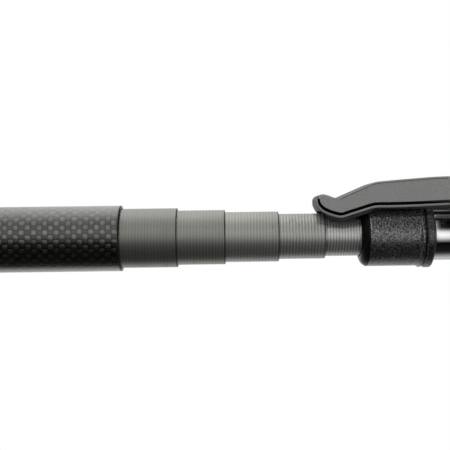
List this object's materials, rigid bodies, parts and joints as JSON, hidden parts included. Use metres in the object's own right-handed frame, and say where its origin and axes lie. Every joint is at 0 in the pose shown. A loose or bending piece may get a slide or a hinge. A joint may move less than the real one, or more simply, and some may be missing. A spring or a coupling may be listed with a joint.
{
  "type": "prism pole",
  "caption": "Pocket telescoping survey pole: nested carbon tubes, cam-lever clamp head, graduated mast with threaded prism seat, steel point and circular bubble level.",
  "frame": {"origin": "flat tip of the steel point, on the pole axis", "axes": "+Z along the pole axis towards the prism seat; the cam lever is on the -X side and the bubble level on the +X side"},
  "size_m": [0.072, 0.0324, 0.544],
  "materials": {
    "steel": "machined",
    "black_aluminium": "black anodised satin",
    "rubber": "matte",
    "sleeve_rubber": "fine grained matte",
    "carbon_weave": "plain-weave carbon under clear coat",
    "carbon_wrap": "satin tape-wrapped carbon with fine ridges",
    "bearing_nylon": "matte",
    "black_plastic": "semi-gloss",
    "lever_plastic": "satin moulded",
    "polished_metal": "polished",
    "mast_coat": null,
    "vial_glass": "clear, tinted liquid"
  },
  "bodies": {
    "butt": {"steel_point": "steel", "jam_nut": "steel", "butt_cap": "black_aluminium", "butt_bumper": "rubber", "cushion_pad": "rubber", "butt_tube": "carbon_weave", "mouth_ring": "black_plastic", "level_clamp": "black_plastic", "level_clamp_screw": "steel", "level_clamp_nut": "steel", "level_cup": "black_plastic", "level_vial": "vial_glass", "level_screw_1": "steel", "level_screw_2": "steel", "level_screw_3": "steel"},
    "second_section": {"section_2": "carbon_wrap", "foot_bush_2": "bearing_nylon"},
    "third_section": {"section_3": "carbon_wrap", "foot_bush_3": "bearing_nylon"},
    "fourth_section": {"section_4": "carbon_wrap", "foot_bush_4": "bearing_nylon"},
    "fifth_section": {"section_5": "carbon_wrap", "foot_bush_5": "bearing_nylon"},
    "head_section": {"section_6": "carbon_wrap", "foot_bush_6": "bearing_nylon", "nose_ring": "black_plastic", "collar_core": "black_aluminium", "grip_sleeve": "sleeve_rubber", "flange_ring": "black_aluminium", "ferrule": "polished_metal", "lock_body": "black_aluminium", "wiper_cap": "rubber", "pivot_pin": "steel", "pin_clip": "steel"},
    "lever": {"cam_lever": "lever_plastic"},
    "brake": {"brake_shoe": "steel", "brake_pad": "rubber"},
    "mast": {"mast_tube": "mast_coat", "mast_foot_bush": "bearing_nylon", "top_adapter": "black_aluminium", "set_screw": "steel"}
  },
  "joints": [
    {"name": "second_slide", "type": "slide", "parent": "butt", "child": "second_section", "axis": [0, 0, 1], "range_m": [0, 0.237]},
    {"name": "third_slide", "type": "slide", "parent": "second_section", "child": "third_section", "axis": [0, 0, 1], "range_m": [0, 0.261]},
    {"name": "fourth_slide", "type": "slide", "parent": "third_section", "child": "fourth_section", "axis": [0, 0, 1], "range_m": [0, 0.279]},
    {"name": "fifth_slide", "type": "slide", "parent": "fourth_section", "child": "fifth_section", "axis": [0, 0, 1], "range_m": [0, 0.299]},
    {"name": "sixth_slide", "type": "slide", "parent": "fifth_section", "child": "head_section", "axis": [0, 0, 1], "range_m": [0, 0.317]},
    {"name": "mast_slide", "type": "slide", "parent": "head_section", "child": "mast", "axis": [0, 0, 1], "range_m": [0, 0.229]},
    {"name": "lever_pivot", "type": "hinge", "parent": "head_section", "child": "lever", "pos_m": [-0.0162, 0, 0.492], "axis": [0, 1, 0], "range_deg": [0, 115]},
    {"name": "brake_slide", "type": "slide", "parent": "head_section", "child": "brake", "axis": [-1, 0, 0], "range_m": [0, 0.00065]}
  ],
  "couplings": [
    {"joint": "brake_slide", "follows": "lever_pivot", "m_per_rad": 0.00031}
  ]
}
